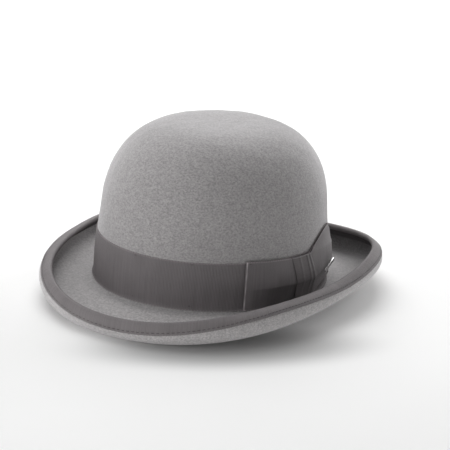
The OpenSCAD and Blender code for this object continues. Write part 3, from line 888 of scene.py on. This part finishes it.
def bow_height(turn, across):
    widening = 1.2 * to_front(turn) ** 2 - 1.5 * bell(turn, KNOT_AT, 9)
    tip = np.sin(np.pi / 2 * np.clip((to_rear(turn) - 0.2) / 0.777, 0, 1))
    return (BAND_FOOT + 0.3 + (BAND_WIDTH - 0.2 + widening) * (1 - across)
            + tip * (TIP_LIFT - 3 * across))


def ridge_across(turn):
    drop = bow_height(turn, 0) - bow_height(KNOT_AT, RIDGE_ACROSS) - 5.8 * to_rear(turn) ** 2.5
    rear = drop / (bow_height(turn, 0) - bow_height(turn, 1))
    return np.where(turn < KNOT_AT, RIDGE_ACROSS + 0.07 * to_front(turn), rear)


def ridge_profile(across, ridge, foot=0.12, full=0.0):
    """Section across the bow: 1 on the ridge, foot at the bottom edge; full rounds the top."""
    up, down = np.clip(across / ridge, 0, 1), np.clip((1 - across) / (1 - ridge), 0, 1)
    top = (1 - full) * (0.55 * np.sin(np.pi / 2 * up) + 0.45 * up) + full * np.sqrt(up)
    return np.where(across < ridge, top, foot + (1 - foot) * down ** 1.5)


def bow_swell(turn, across):
    front = RIDGE * (1 - to_front(turn) ** 1.5) ** 0.9
    rear = RIDGE * (1 - 0.26 * np.minimum(1, 2.2 * to_rear(turn)))
    profile = ridge_profile(across, ridge_across(turn), foot=0.12 + 0.25 * to_rear(turn),
                            full=0.9 * to_rear(turn) ** 2)
    return np.where(turn < KNOT_AT, front, rear) * profile


def bow_point(angle, across, standoff, raised=0.0):
    height = bow_height(np.degrees(angle), across)
    band_top = BAND_FOOT + BAND_WIDTH
    # above the band the bow sinks towards the felt
    sink = 0.8 * smooth(height, band_top + 0.4, band_top + 3.4)
    return band_point(angle, height + raised, standoff - sink)


def bow_face_point(angle, across, out=0.0):
    swell = bow_swell(np.degrees(angle), across)
    return bow_point(angle, across, BOW_FACE + RIBBON_THICK + swell + out)


def row_across(row, turn):
    """Rows 0-1 run from the top edge to the ridge, rows 1-2 from there to the bottom."""
    ridge = ridge_across(turn)
    return np.where(row < 1, ridge * row, ridge + (1 - ridge) * (row - 1))


def bow_row(row):
    """Arc, standoff and across along one row: the face, the rear fold, the back, the front
    fold."""
    count = int(round((ARC_REAR - ARC_FRONT) / (RIB_PITCH / RIB_STEPS)))
    face = np.linspace(ARC_FRONT, ARC_REAR, count)
    back = np.linspace(ARC_REAR, ARC_FRONT, count // 3)
    turn = turn_at(face)
    standoff = BOW_FACE + RIBBON_THICK + bow_swell(turn, row_across(row, turn))
    fold = np.linspace(0, np.pi, 9)[1:-1]
    front_radius, rear_radius = (standoff[0] - BOW_BACK) / 2, (standoff[-1] - BOW_BACK) / 2
    arcs = np.concatenate([face, ARC_REAR + np.sin(fold) * (0.35 * rear_radius + 0.55),
                           back, ARC_FRONT - np.sin(fold) * 0.8])
    standoffs = np.concatenate([standoff, BOW_BACK + rear_radius * (1 + np.cos(fold)),
                                np.full(len(back), BOW_BACK),
                                BOW_BACK + front_radius * (1 - np.cos(fold))])
    return arcs, standoffs, row_across(row, turn_at(arcs))


def bow_loops():
    rows = np.concatenate([[0, 0.016, 0.04], np.linspace(0.09, 0.965, 17), [0.985, 1, 1.015],
                           np.linspace(1.035, 1.91, 17), [1.96, 1.984, 2]])
    arcs, standoff, across = (np.stack(part, 1) for part in zip(*map(bow_row, rows)))
    along = distances(np.stack([arcs[:, 10], standoff[:, 10]], -1))[:, None]
    rib = rib_wave(along, RIB_PITCH)
    edge = np.minimum(across, 1 - across) * BAND_WIDTH
    middle = bow_point(angle_at(arcs), across, standoff - RIBBON_THICK / 2,
                       edge_loops(0.36, rib, across, edge))
    normal = normals(middle, True)
    wavy = 0.10 * waves(middle, 16, seed=31) * np.clip(edge / 5, 0, 1)
    # small drag lines running into the knot
    drag = (0.16 * bell(np.abs(arcs - ARC_KNOT), KNOT_WIDTH / 2, 9)
            * np.sin(2 * np.pi * across * 5.5 + 0.6) * np.clip(edge / 3, 0, 1))
    outer_lift = RIBBON_THICK / 2 - 0.08 + 0.18 * rib * rib_fade(edge) + wavy + drag
    inner_lift = RIBBON_THICK / 2 - 0.02 - wavy
    # painted highlight along the front fold, painted shade below the ridge of the front loop
    painted_fold_highlight = ((1.5 + 0.6 * np.sin(across * 23 + 1)) * bell(arcs, ARC_FRONT - 0.2, 0.27)
            * (standoff > BOW_BACK + 0.05))
    from_front = arcs - ARC_FRONT
    painted_crease_shade = ((0.20 + 0.26 * smooth(from_front, 10, 26))
              * smooth(across - ridge_across(turn_at(arcs)), 0, 0.03)
              * smooth(ARC_KNOT - arcs, 0, 4) * smooth(from_front, 1, 10))
    pattern = grid(along, across * BAND_WIDTH, painted_fold_highlight - painted_crease_shade)
    sheet("bow_loops", middle + normal * outer_lift[..., None],
          middle - normal * inner_lift[..., None], True, pattern, pattern,
          part="bow_ribbon", look=RIBBON)


# Knot: a belt round the bow, leaning back towards its foot. Columns: height of a pleat,
# its place over the half width, its slant down the knot, its width
PLEATS = ((0.55, 0.50, 0.25, 0.085), (0.50, 0.84, 0.10, 0.07), (0.30, -0.30, 0.2, 0.10))


def knot_column(side):
    """Closed path round the bow at a place over the knot's half width, -1 to 1."""
    def angle(across):
        mm_per_degree = 1.83
        return rad(KNOT_AT - 1.05 + 0.95 * across + 2.1 * across * across
                   + side * KNOT_WIDTH / 2 / mm_per_degree)

    face = np.linspace(-0.006, 1.006, 130)
    back = np.linspace(0.99, 0.01, 30)
    fold = np.linspace(0, np.pi, 9)[1:-1]
    inside = np.clip(face, 0, 1)
    pleat = sum(height * bell(side + slant * inside, place, width)
                for height, place, slant, width in PLEATS) * (1 - 0.55 * inside)
    standoff = (BOW_FACE + RIBBON_THICK + 0.3 + RIBBON_THICK / 2
                + RIDGE * ridge_profile(inside, RIDGE_ACROSS, foot=0.2)
                + pleat - 0.30 * abs(side) ** 4 + 0.05)
    behind = KNOT_BACK + RIBBON_THICK / 2
    top_radius, bottom_radius = (standoff[0] - behind) / 2, (standoff[-1] - behind) / 2
    height = bow_height(KNOT_AT, face)
    standoffs = np.concatenate([standoff, behind + bottom_radius * (1 + np.cos(fold)),
                                np.full(len(back), behind),
                                behind + top_radius * (1 - np.cos(fold))])
    heights = np.concatenate([height, height[-1] - np.sin(fold) * 0.9,
                              bow_height(KNOT_AT, back), height[0] + np.sin(fold) * 0.9])
    across = np.concatenate([face, np.ones(7), back, np.zeros(7)])
    return band_point(angle(across), heights, standoffs)


def bow_knot():
    sides = np.linspace(1, -1, 68)
    columns = [knot_column(side) for side in sides]
    closed = [np.concatenate([column, column[:1]]) for column in columns]
    # resample the path evenly so that the cross ribs are true
    travel = distances(closed[len(closed) // 2])
    length = travel[-1]
    ribs = int(round(length / RIB_PITCH))
    count = ribs * RIB_STEPS
    along = np.arange(count) / count * length
    middle = np.stack([np.stack([np.interp(along, travel, column[:, axis]) for axis in range(3)],
                                -1) for column in closed], 1)
    normal = normals(middle, True)
    along = along[:, None]
    edge = (1 - np.abs(sides)) * KNOT_WIDTH / 2
    lift = RIBBON_THICK / 2 - 0.06 + 0.14 * rib_wave(along, length / ribs) * rib_fade(edge)
    pattern = grid(along, sides * KNOT_WIDTH / 2, 0.0)
    sheet("bow_knot_wrap", middle + normal * lift[..., None],
          middle - normal * (RIBBON_THICK / 2 - 0.02), True, pattern, pattern,
          part="bow_knot", look=SHADED_KNOT_RIBBON)


# Tacks ------------------------------------------------------------------------------------------
def band_tacks():
    tacks = []
    for turn in (-135, -100, -70, 50, 80, 110, 140, 175):
        for height in (BAND_FOOT + BAND_WIDTH - 1.2, BAND_FOOT + 3):
            tacks.append(stitch_on(
                lambda angle, out: band_point(angle, height, BAND_GAP + RIBBON_THICK + out),
                rad(turn), length=1.6, out=0.42))
    threads("band_tack_threads", tacks, radius=0.18, sides=10, part="band_tacks", look=THREAD)


def bow_tacks():
    tacks = []
    for turn in (BOW_FRONT + 1.4, BOW_REAR - 0.8):
        for across in (0.03, 0.97):
            tacks.append(stitch_on(lambda angle, out: bow_face_point(angle, across, out),
                                   rad(turn), length=1.5, out=0.42))
    threads("bow_tack_threads", tacks, radius=0.18, sides=10, part="bow_tacks", look=THREAD)


# ----------------------------------------------------------------------------------------------
# Sweatband
# ----------------------------------------------------------------------------------------------
def sweatband():
    angle = rad(90 + 0.2 + np.linspace(0, 359.6, INSIDE_STEPS))[:, None]
    share = np.concatenate([[1, 0.9975, 0.992, 0.985], np.linspace(0.97, 0.03, 46),
                            [0.015, 0.008, 0.0025, 0]])[None, :]
    height = SWEAT_FOOT + SWEAT_HEIGHT * share
    top = SWEAT_FOOT + SWEAT_HEIGHT
    edge = np.minimum(height - SWEAT_FOOT, top - height)
    rounding = np.sqrt(np.clip(1 - (np.clip(0.5 - edge, 0, 0.5) / 0.5) ** 2, 0, 1))
    wall = inside_point(angle, height, 0.0)
    wavy = np.clip(0.16 * waves(wall, 38, seed=71) + 0.05 * waves(wall, 9, seed=72), -0.2, 0.35)
    wavy = wavy * np.clip((height - SWEAT_FOOT - 3) / 8, 0, 1)
    # grooves: depth, height, width
    grooves = sum(depth * bell(height, centre, width) for depth, centre, width in (
        (0.16, top - 3.2, 0.28), (0.16, top - 4.6, 0.28), (0.14, 2.2, 0.5)))
    half = SWEAT_THICK / 2 * rounding
    middle = SWEAT_GAP + SWEAT_THICK / 2
    pattern = grid(angle * PATTERN_RADIUS, height, 0.0)
    sheet("sweatband_leather", inside_point(angle, height, middle - half),
          inside_point(angle, height, middle + half + np.maximum(wavy, -0.1) - grooves), False,
          pattern, pattern, part="sweatband", look=LEATHER)


def sweatband_stitches():
    stitches = []
    for i in range(120):
        stitches.append(stitch_on(
            lambda angle, out: inside_point(angle, 2.2, SWEAT_FACE - 0.12 + out),
            rad(3 * i + 1.5), length=3.0, out=0.42))
    for i in range(8):  # zigzag over the rear seam
        middle = inside_point(rad(90.0), 6 + i * 3.6, SWEAT_FACE + 0.02)
        reach = np.array([1.27, 0, 0.8 if i % 2 == 0 else -0.8])
        stitches.append(stitch_line(middle - reach, middle + reach, np.array([0, -0.34, 0])))
    threads("sweatband_stitches", stitches, radius=0.2, part="sweatband_thread",
            look=INSIDE_THREAD)


def sweatband_bow():
    """Ribbon bow over the rear seam: two flat loops and a ribbed cushion as knot."""
    centre = inside_point(rad(90.0), 12.0, SWEAT_FACE) + np.array([0, -1.5, 0])
    turn = np.linspace(0, 2 * np.pi, 96, endpoint=False)[:, None]
    across = np.linspace(1, -1, 15)[None, :]
    rib = 0.05 * np.cos(turn * 26)
    verts, quads, tris, base = [], [], [], 0
    for side in (-1, 1):
        near = (1 - side * np.cos(turn)) / 2  # 1 at the knot
        gather = 0.10 * np.sin(across * 7) * near ** 2
        outer, inner = (
            grid(side * 6.6 + (long_radius + rib) * np.cos(turn),
                 (short_radius + rib * 0.6) * np.sin(turn) + gather,
                 2.6 * across * (1 - 0.35 * near ** 3)) + centre
            for long_radius, short_radius in ((6.0 - 0.06, 0.96), (5.55, 0.66)))
        loop_verts, loop_quads, _ = sheet_mesh(outer, inner, True)
        verts.append(loop_verts)
        quads.append(loop_quads + base)
        base += len(loop_verts)
    rings, sides = 13, 64
    along = np.linspace(-1, 1, rings)[:, None]
    turn = np.linspace(0, 2 * np.pi, sides, endpoint=False)
    fullness = 1 - np.abs(along) ** 5 * 0.35
    cos, sin = np.cos(turn), np.sin(turn)
    depth = np.sign(cos) * np.abs(cos) ** 0.7 * (1 + 0.03 * np.cos(20 * turn))
    knot = grid(1.5 * along, 1.08 * fullness * depth,
                2.78 * fullness * np.sign(sin) * np.abs(sin) ** 0.8) + centre
    verts += [knot.reshape(-1, 3), [knot[0].mean(0), knot[-1].mean(0)]]
    # the section runs the other way round from a thread's, so the faces are turned over
    quads.append(tube_quads(rings, sides)[:, [0, 3, 2, 1]] + base)
    tris.append(tube_caps(rings, sides)[:, [0, 2, 1]] + base)
    verts = np.concatenate(verts)
    make("sweatband_ribbon_bow", verts, np.concatenate(quads), np.concatenate(tris),
         grid(verts[:, 0], verts[:, 2], 0.0), part="sweatband_bow", look=RIBBON)


def ring_angles():
    return (np.arange(INSIDE_STEPS) * 2 * np.pi / INSIDE_STEPS)[:, None]


def reed_tape():
    """Tape folded round the reed at the sweatband's foot, swept round the oval."""
    reed_height = SWEAT_FOOT - 0.35 - REED_RADIUS
    fold = rad(np.linspace(190, 370, 22))
    legs_top = 7
    outer, inner = REED_RADIUS + 0.3, REED_RADIUS + 0.08
    inset = np.concatenate([np.full(9, 0.3), 1.25 + outer * np.cos(fold),
                            1.25 + inner * np.cos(fold[::-1]), np.full(8, 0.52)])
    height = np.concatenate([np.linspace(legs_top, reed_height + 0.3, 9),
                             reed_height + outer * np.sin(fold),
                             reed_height + inner * np.sin(fold[::-1]),
                             np.linspace(reed_height + 1.2, legs_top, 8)])
    angle = ring_angles()
    verts = inside_point(angle, 0.0, inset)
    verts[..., 2] += height
    count = len(inset)
    pattern = grid(angle * PATTERN_RADIUS, np.arange(count) * 0.5, 0.0)
    make("reed_tape_cloth", verts.reshape(-1, 3), tube_quads(INSIDE_STEPS, count, closed=True),
         np.zeros((0, 3), int), pattern.reshape(-1, 3), part="reed_tape", look=TAPE)


def size_label():
    """Blank woven cloth, a little bowed, with rough cut ends."""
    start, end, bottom, top, count = 118, 131.2, 17, 31, 60
    angle = rad(np.linspace(start, end, count))[:, None]
    height = np.linspace(top, bottom, count)[None, :]
    bulge = (0.25 * np.sin(np.pi * (height - bottom) / (top - bottom))
             * np.sin(np.pi * (angle - rad(start)) / rad(end - start)))
    rough = (0.12 * np.sin(np.arange(count) * 2.4)[:, None]
             * bell(np.minimum(height - bottom, top - height), 0, 0.25)
             * np.where(height > (bottom + top) / 2, 1, -1))
    outer, inner = (inside_point(angle, height + rough, SWEAT_FACE + gap + bulge)
                    for gap in (0.22, 0.5))
    pattern = grid(angle * PATTERN_RADIUS, height, 0.0)
    sheet("size_label_cloth", outer, inner, False, pattern, pattern, part="size_label",
          look=LABEL)


# ----------------------------------------------------------------------------------------------
# Satin lining: side wall with soft gathers, and the flat tip
# ----------------------------------------------------------------------------------------------
def lining_side():
    angle = ring_angles()
    rise = np.linspace(0.6, 0.0, 26)
    wall = np.linspace(WALL_HEIGHT, 27, 34)[1:]
    dome_count = len(rise)
    down = np.linspace(0, 1, dome_count + len(wall))[None, :]
    phase = 46 * angle + 1.1 * np.sin(3 * angle + 0.7) + 0.8 * np.sin(5 * angle + 2.0)
    gather = (0.5 + 0.5 * np.sin(phase + 0.5 * np.sin(7 * angle) * down)) ** 1.6
    inset = LINING_GAP + gather * (0.55 * np.exp(-down / 0.25) + 0.16 + 0.25 * down)
    inset[:, 0] = LINING_GAP

    def skin(inset):
        dome = dome_point(angle, spread_at(rise), rise, FELT_THICK + inset[:, :dome_count])
        return np.concatenate([dome, inside_point(angle, wall, inset[:, dome_count:])], 1)

    pattern = grid(angle * PATTERN_RADIUS, down * 80, 0.0)
    sheet("lining_side_satin", skin(inset), skin(inset + LINING_THICK), True, pattern, pattern,
          part="lining_side", look=SATIN)


def lining_tip():
    angle = ring_angles()
    spread, rise = dome_rows(0.05, 0.72, 0.63, 24, 8)
    down = np.linspace(0, 1, len(spread))
    ripple = 0.10 * (1 + np.sin(angle * 9 + 3 * down)) * np.sin(np.pi * down)
    inset = FELT_THICK + LINING_GAP
    outer, inner = (dome_point(angle, spread, rise, inset + thick + ripple)
                    for thick in (0, LINING_THICK))
    pattern = grid(outer[..., 0], outer[..., 1], 0.0)
    sheet("lining_tip_satin", outer, inner, True, pattern, pattern,
          poles=(apex(inset), apex(inset + LINING_THICK)), part="lining_tip", look=SATIN)


def lining_stitches():
    rise = 0.615
    inset = FELT_THICK + LINING_GAP + LINING_THICK + 0.12
    stitches = [stitch_on(lambda angle, out: dome_point(angle, spread_at(rise), rise, inset + out),
                          rad(4.5 * i + 2), length=3.0, out=0.36) for i in range(80)]
    threads("lining_stitches", stitches, radius=0.18, part="lining_thread", look=INSIDE_THREAD)


# ----------------------------------------------------------------------------------------------
# Stage, metres
# ----------------------------------------------------------------------------------------------
AZIMUTH, ELEVATION, ROLL = rad(24.613), rad(15.77), rad(4.449)
# level directions as seen from the camera
RIGHT = np.array([np.cos(AZIMUTH), np.sin(AZIMUTH), 0])
TOWARD = np.array([np.sin(AZIMUTH), -np.cos(AZIMUTH), 0])
UP = np.array([0, 0, 1.0])


def camera(scene):
    data = bpy.data.cameras.new("cam")
    cam = bpy.data.objects.new("cam", data)
    scene.collection.objects.link(cam)
    scene.camera = cam
    back = TOWARD * np.cos(ELEVATION) + UP * np.sin(ELEVATION)
    up = np.cross(back, RIGHT)
    x_axis = RIGHT * np.cos(ROLL) + up * np.sin(ROLL)
    y_axis = up * np.cos(ROLL) - RIGHT * np.sin(ROLL)
    place = back * 2.00541 + UP * 0.040
    cam.matrix_world = Matrix([*zip(x_axis, y_axis, back, place), (0, 0, 0, 1)])
    data.sensor_width = 36.0
    data.sensor_fit = "HORIZONTAL"
    data.lens = 205.412
    data.shift_x = 0.02511111
    data.shift_y = -0.00088889
    data.clip_start, data.clip_end = 0.05, 50


def area_light(scene, name, place, target, size, power):
    data = bpy.data.lights.new(name, "AREA")
    data.energy = power
    data.shape = "RECTANGLE"
    data.size = data.size_y = size
    light = bpy.data.objects.new(name, data)
    scene.collection.objects.link(light)
    light.location = place
    aim = Vector(target) - Vector(place)
    light.rotation_euler = aim.to_track_quat("-Z", "Y").to_euler()


# name, direction (right, up, toward the camera), distance, size, power in watts
LIGHTS = (
    ("key_top", (-0.2, 1.0, -0.2), 1.4, 1.3, 8),
    ("back_top", (-0.15, 0.9, -0.9), 1.4, 1.2, 11),
    ("left_low", (-1.0, 0.12, 0.25), 1.4, 0.8, 4.1),
    ("left_front", (-0.8, 0.34, 0.85), 1.5, 0.8, 5.6),
    ("right_side", (1.0, 0.5, -0.75), 1.4, 0.8, 4.3),
    ("right_back", (0.7, 0.35, -1.0), 1.4, 0.6, 3.5),
)


def lights(scene):
    for name, (x, y, z), distance, size, power in LIGHTS:
        direction = x * RIGHT + y * UP + z * TOWARD
        direction /= np.linalg.norm(direction)
        area_light(scene, name, tuple(UP * 0.05 + direction * distance), (0, 0, 0.04), size,
                   power)
    area_light(scene, "inside_fill", (0, 0, 0.004), (0, 0, 0.1), size=0.09, power=0.03)


def floor_material():
    """White, with a painted shadow: a soft dark oval in front of the brim that only the camera
    sees, and a faint painted glow that is dimmed inside it for the camera.
    """
    mat = Material("floor_white")
    place = mat.place()
    clouds = mat.noise(place, scale=6)
    x, y, _ = mat.separate(place)
    tilt = -0.351
    centre = RIGHT * 0.0173 + TOWARD * 0.1398
    long_axis = RIGHT * np.cos(tilt) + TOWARD * np.sin(tilt)
    short_axis = TOWARD * np.cos(tilt) - RIGHT * np.sin(tilt)
    squares = []
    for axis, extent in ((long_axis, 0.0972), (short_axis, 0.0420)):
        part = mat.add(mat.multiply(x, float(axis[0] / extent)),
                       mat.multiply(y, float(axis[1] / extent)))
        part = mat.subtract(part, float(centre @ axis / extent))
        squares.append(mat.multiply(part, part))
    # falloff exp(-(distance squared) ** 2.025)
    power = mat.multiply(mat.math("POWER", mat.add(*squares), 2.025), -1.0)
    fall = mat.math("POWER", 2.71828, power)
    # painted shadow, for camera rays only
    painted_shadow_pool = mat.subtract(0.935, mat.multiply(fall, 0.60))
    is_camera = mat.node("ShaderNodeLightPath").outputs["Is Camera Ray"]
    shade = mat.add(1.0, mat.multiply(is_camera, mat.subtract(painted_shadow_pool, 1.0)))
    white = mat.ramp(clouds, (0.3, (0.93, 0.93, 0.926)), (0.7, (0.95, 0.95, 0.948)))
    # colour darkened by the painted shadow; the emission is a faint painted glow, dimmed by it too
    mat.set(Base_Color=mat.tint(white, shade),
            Emission_Color=mat.ramp(shade, (0.0, 0), (1.0, 0.08)),
            Emission_Strength=1.0, Roughness=0.8)
    # clear to the camera from below
    geometry = mat.node("ShaderNodeNewGeometry")
    clear = mat.node("ShaderNodeBsdfTransparent")
    both = mat.node("ShaderNodeMixShader")
    mat.feed(both.inputs[0], mat.multiply(geometry.outputs["Backfacing"], is_camera))
    mat.feed(both.inputs[1], mat.shader.outputs[0])
    mat.feed(both.inputs[2], clear.outputs[0])
    mat.feed(mat.output.inputs[0], both.outputs[0])
    return mat.data


def floor_sheet(scene):
    """Floor and backdrop in one swept sheet."""
    material = floor_material()
    mesh = bpy.data.meshes.new("floor")
    sweep_start, radius, half_width = 1.6, 0.8, 3.5
    # profile: distance away from the camera, height
    profile = [(-2.2, 0.0), (sweep_start, 0.0)]
    profile += [(sweep_start + radius * np.sin(a), radius - radius * np.cos(a))
                for a in np.linspace(0.1, np.pi / 2, 12)]
    profile.append((sweep_start + radius, 3.0))
    level = REST / 1000 - 0.0002
    verts = [tuple(-TOWARD * away + RIGHT * side + UP * (level + height))
             for away, height in profile for side in (-half_width, half_width)]
    faces = [(2 * i, 2 * i + 1, 2 * i + 3, 2 * i + 2) for i in range(len(profile) - 1)]
    mesh.from_pydata(verts, [], faces)
    mesh.update()
    for polygon in mesh.polygons:
        polygon.use_smooth = True
    floor = bpy.data.objects.new("floor", mesh)
    scene.collection.objects.link(floor)
    mesh.materials.append(material)


def studio_world(scene):
    """Even, dim white light."""
    world = bpy.data.worlds.new("studio")
    scene.world = world
    world.use_nodes = True
    tree = world.node_tree
    tree.nodes.clear()
    output = tree.nodes.new("ShaderNodeOutputWorld")
    background = tree.nodes.new("ShaderNodeBackground")
    background.inputs["Color"].default_value = (1, 1, 1, 1)
    background.inputs["Strength"].default_value = 0.2
    tree.links.new(background.outputs[0], output.inputs[0])


# ----------------------------------------------------------------------------------------------
# Build
# ----------------------------------------------------------------------------------------------
for build in (felt_hood, brim_binding, binding_stitches, hat_band, bow_loops, bow_knot,
              band_tacks, bow_tacks, sweatband, sweatband_stitches, sweatband_bow, reed_tape,
              size_label, lining_side, lining_tip, lining_stitches):
    build()

for node_name, hard_material in (("badge_plate", METAL), ("reed", REED)):
    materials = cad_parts[node_name].data.materials
    materials.clear()
    materials.append(hard_material)

scene = bpy.context.scene
for build in (camera, lights, floor_sheet, studio_world):
    build(scene)

scene.view_settings.view_transform = "Standard"
scene.view_settings.look = "None"
scene.view_settings.exposure = 0.0
